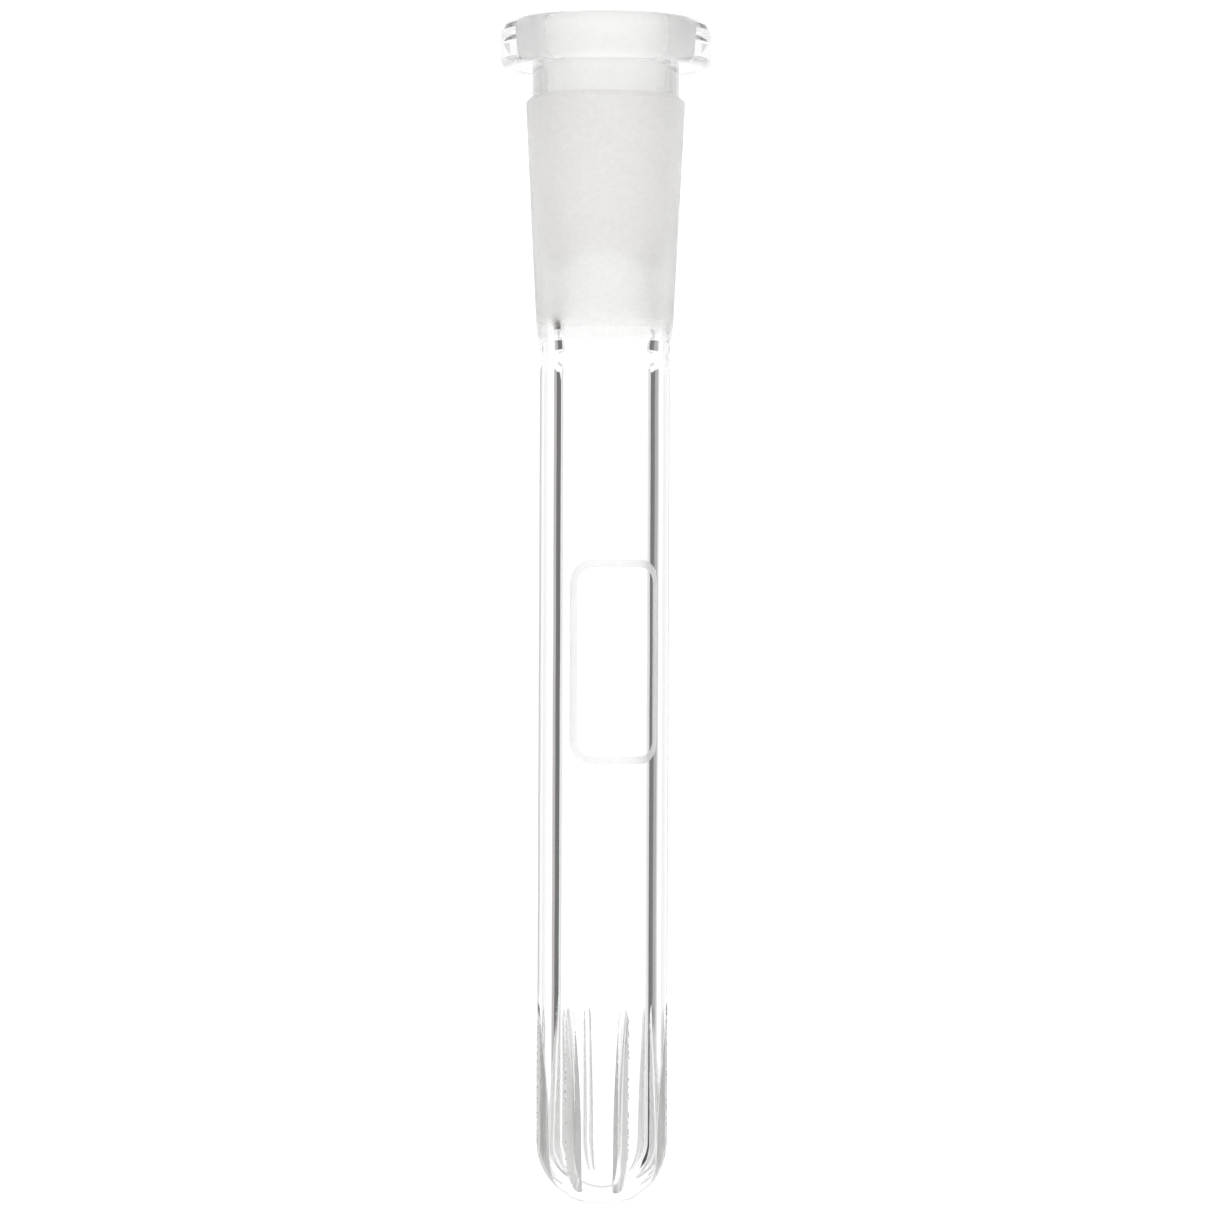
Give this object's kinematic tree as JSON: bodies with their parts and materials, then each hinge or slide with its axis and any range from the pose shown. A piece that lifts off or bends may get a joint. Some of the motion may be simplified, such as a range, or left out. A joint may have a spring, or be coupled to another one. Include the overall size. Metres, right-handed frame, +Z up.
{
  "type": "ground-joint diffuser stem",
  "caption": "Heavy-wall glass diffuser stem with a ground cone outside, a ground socket inside, a thick rim flange and a closed round tip sawn open by slots.",
  "frame": {"origin": "centre of the ground cone's wide end, the gauge plane of the outer joint", "axes": "+Z up along the tube's axis, from the slotted tip towards the rim flange; -Y is the side seen in the picture"},
  "size_m": [0.0249, 0.0248, 0.1398],
  "materials": {
    "clear_glass": "fire-polished clear borosilicate glass",
    "ground_glass": "evenly ground, matt white"
  },
  "bodies": {
    "root": {"rim_flange": "clear_glass", "neck_collar": "clear_glass", "ground_socket": "ground_glass", "ground_cone": "ground_glass", "flame_seal": "clear_glass", "stem_tube": "clear_glass", "diffuser_tip": "clear_glass"}
  },
  "joints": []
}
